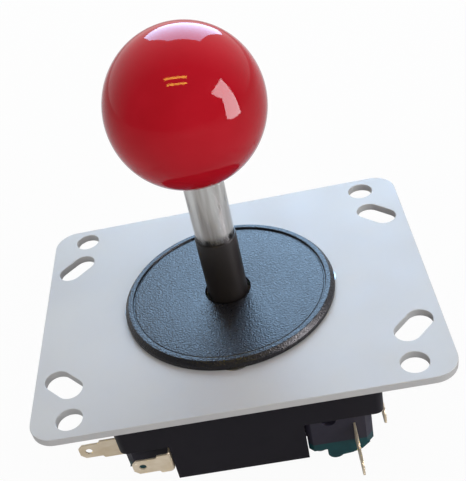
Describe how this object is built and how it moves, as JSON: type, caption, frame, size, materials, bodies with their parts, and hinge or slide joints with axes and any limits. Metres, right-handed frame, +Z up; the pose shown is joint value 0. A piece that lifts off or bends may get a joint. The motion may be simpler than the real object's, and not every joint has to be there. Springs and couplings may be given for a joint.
{
  "type": "arcade joystick",
  "caption": "Ball top joystick with a chromed shaft, dust disc, slotted steel mounting plate and lever switches in a housing below.",
  "frame": {"origin": "centre of the mounting plate's top face, on the stick's axis at rest", "axes": "+Z up along the stick, -Y towards the front, +X to the right"},
  "size_m": [0.097, 0.088, 0.1058],
  "materials": {
    "plate": "satin",
    "screw_steel": "satin",
    "spring_steel": "satin",
    "black_plastic": "matte",
    "sleeve_plastic": "satin",
    "disc_plastic": "grained",
    "switch_case": "matte",
    "switch_cover": "matte",
    "chrome": "polished",
    "ball_red": "gloss",
    "nylon": "satin",
    "brass": "satin",
    "terminal": "tinned, satin"
  },
  "bodies": {
    "base": {"mounting_plate": "plate", "plate_screws": "screw_steel", "housing": "black_plastic", "pivot_retainer": "nylon", "spring_washer": "screw_steel", "restrictor_gate": "black_plastic", "gate_screws": "screw_steel", "switch_screws": "screw_steel", "lever_pins": "spring_steel", "front_switch_case": "switch_case", "front_switch_cover": "switch_cover", "front_end_terminal": "terminal", "front_side_terminal": "terminal", "right_switch_case": "switch_case", "right_switch_cover": "switch_cover", "right_end_terminal": "terminal", "right_side_terminal": "terminal", "back_switch_case": "switch_case", "back_switch_cover": "switch_cover", "back_end_terminal": "terminal", "back_side_terminal": "terminal", "left_switch_case": "switch_case", "left_switch_cover": "switch_cover", "left_end_terminal": "terminal", "left_side_terminal": "terminal"},
    "pivot": {"pivot_ball": "nylon", "cross_pin": "spring_steel"},
    "stick": {"shaft": "chrome", "shaft_sleeve": "sleeve_plastic", "ball_top": "ball_red", "ball_insert": "brass", "actuator": "nylon", "e_clip": "spring_steel", "spring": "spring_steel"},
    "slip": {"slip_washer": "nylon"},
    "dust": {"dust_disc": "disc_plastic"},
    "front_lever_arm": {"front_lever": "spring_steel"},
    "front_button": {"front_plunger": "nylon"},
    "right_lever_arm": {"right_lever": "spring_steel"},
    "right_button": {"right_plunger": "nylon"},
    "back_lever_arm": {"back_lever": "spring_steel"},
    "back_button": {"back_plunger": "nylon"},
    "left_lever_arm": {"left_lever": "spring_steel"},
    "left_button": {"left_plunger": "nylon"}
  },
  "joints": [
    {"name": "tilt_fore_aft", "type": "hinge", "parent": "base", "child": "pivot", "pos_m": [0, 0, -0.0096], "axis": [1, 0, 0], "range_deg": [-10, 10], "stiffness_Nm_per_rad": 0.43, "deforming": ["spring"]},
    {"name": "tilt_left_right", "type": "hinge", "parent": "pivot", "child": "stick", "pos_m": [0, 0, -0.0096], "axis": [0, 1, 0], "range_deg": [-10, 10], "stiffness_Nm_per_rad": 0.43, "deforming": ["spring"]},
    {"name": "slip_washer_slide", "type": "slide", "parent": "base", "child": "slip", "axis": [0, 1, 0], "range_m": [-0.0019, 0.0019]},
    {"name": "dust_disc_slide", "type": "slide", "parent": "slip", "child": "dust", "axis": [1, 0, 0], "range_m": [-0.0019, 0.0019]},
    {"name": "front_lever_hinge", "type": "hinge", "parent": "base", "child": "front_lever_arm", "pos_m": [-0.0264, -0.0121, -0.02215], "axis": [0, 0, 1], "range_deg": [-5.4, 5.4]},
    {"name": "front_plunger_slide", "type": "slide", "parent": "base", "child": "front_button", "axis": [0, -1, 0], "range_m": [-0.00095, 0.00095]},
    {"name": "right_lever_hinge", "type": "hinge", "parent": "base", "child": "right_lever_arm", "pos_m": [0.0121, -0.0264, -0.02215], "axis": [0, 0, 1], "range_deg": [-5.4, 5.4]},
    {"name": "right_plunger_slide", "type": "slide", "parent": "base", "child": "right_button", "axis": [1, 0, 0], "range_m": [-0.00095, 0.00095]},
    {"name": "back_lever_hinge", "type": "hinge", "parent": "base", "child": "back_lever_arm", "pos_m": [0.0264, 0.0121, -0.02215], "axis": [0, 0, 1], "range_deg": [-5.4, 5.4]},
    {"name": "back_plunger_slide", "type": "slide", "parent": "base", "child": "back_button", "axis": [0, 1, 0], "range_m": [-0.00095, 0.00095]},
    {"name": "left_lever_hinge", "type": "hinge", "parent": "base", "child": "left_lever_arm", "pos_m": [-0.0121, 0.0264, -0.02215], "axis": [0, 0, 1], "range_deg": [-5.4, 5.4]},
    {"name": "left_plunger_slide", "type": "slide", "parent": "base", "child": "left_button", "axis": [-1, 0, 0], "range_m": [-0.00095, 0.00095]}
  ],
  "couplings": [
    {"joint": "slip_washer_slide", "follows": "tilt_fore_aft", "m_per_rad": -0.01075},
    {"joint": "dust_disc_slide", "follows": "tilt_left_right", "m_per_rad": 0.01075},
    {"joint": "front_lever_hinge", "follows": "tilt_fore_aft", "ratio": 0.517},
    {"joint": "front_plunger_slide", "follows": "tilt_fore_aft", "m_per_rad": -0.00491},
    {"joint": "right_lever_hinge", "follows": "tilt_left_right", "ratio": 0.517},
    {"joint": "right_plunger_slide", "follows": "tilt_left_right", "m_per_rad": -0.00491},
    {"joint": "back_lever_hinge", "follows": "tilt_fore_aft", "ratio": -0.517},
    {"joint": "back_plunger_slide", "follows": "tilt_fore_aft", "m_per_rad": 0.00491},
    {"joint": "left_lever_hinge", "follows": "tilt_left_right", "ratio": -0.517},
    {"joint": "left_plunger_slide", "follows": "tilt_left_right", "m_per_rad": 0.00491}
  ]
}
